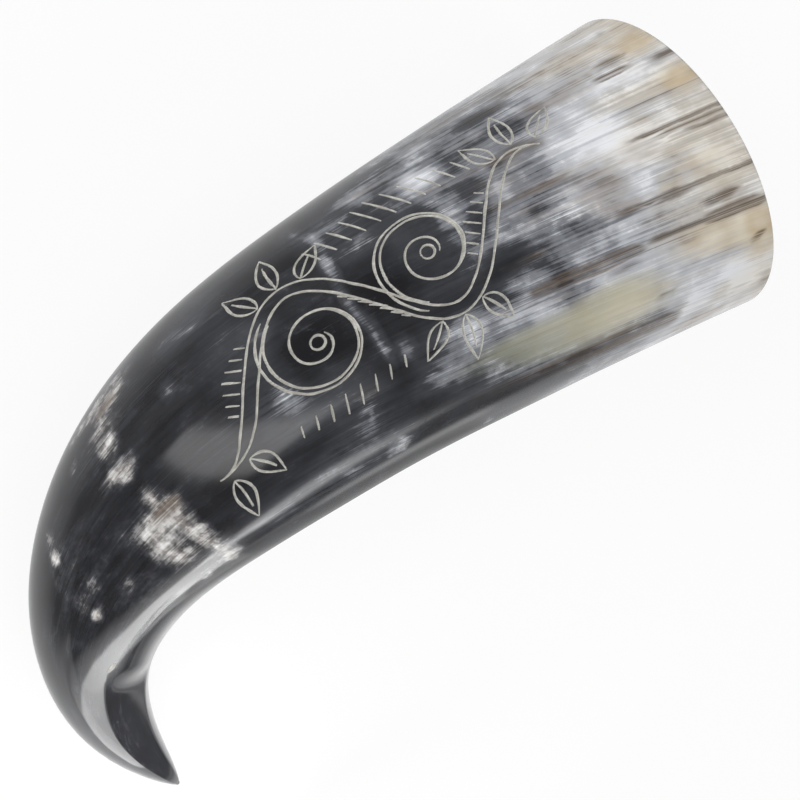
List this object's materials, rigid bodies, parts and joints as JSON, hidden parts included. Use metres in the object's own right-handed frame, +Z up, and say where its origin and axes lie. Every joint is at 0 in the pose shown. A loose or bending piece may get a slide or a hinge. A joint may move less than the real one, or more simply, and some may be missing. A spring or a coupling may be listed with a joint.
{
  "type": "drinking horn",
  "caption": "Curved hollow horn cup with a wide round mouth, a hooked solid tip and a thin sealed lining, for drinking.",
  "frame": {"origin": "on the table, under the middle of the box of the horn as it lies on its flank", "axes": "+X towards the mouth, -Y the side to which the hook turns, +Z up, with the engraved flank uppermost"},
  "size_m": [0.1894, 0.148, 0.078],
  "materials": {
    "horn": "polished natural horn, near black at the tip, streaky grey and ivory at the mouth",
    "lining": "clear amber food-safe coat over the raw inside of the horn"
  },
  "bodies": {
    "root": {"horn": "horn", "inner_lining": "lining"}
  },
  "joints": []
}
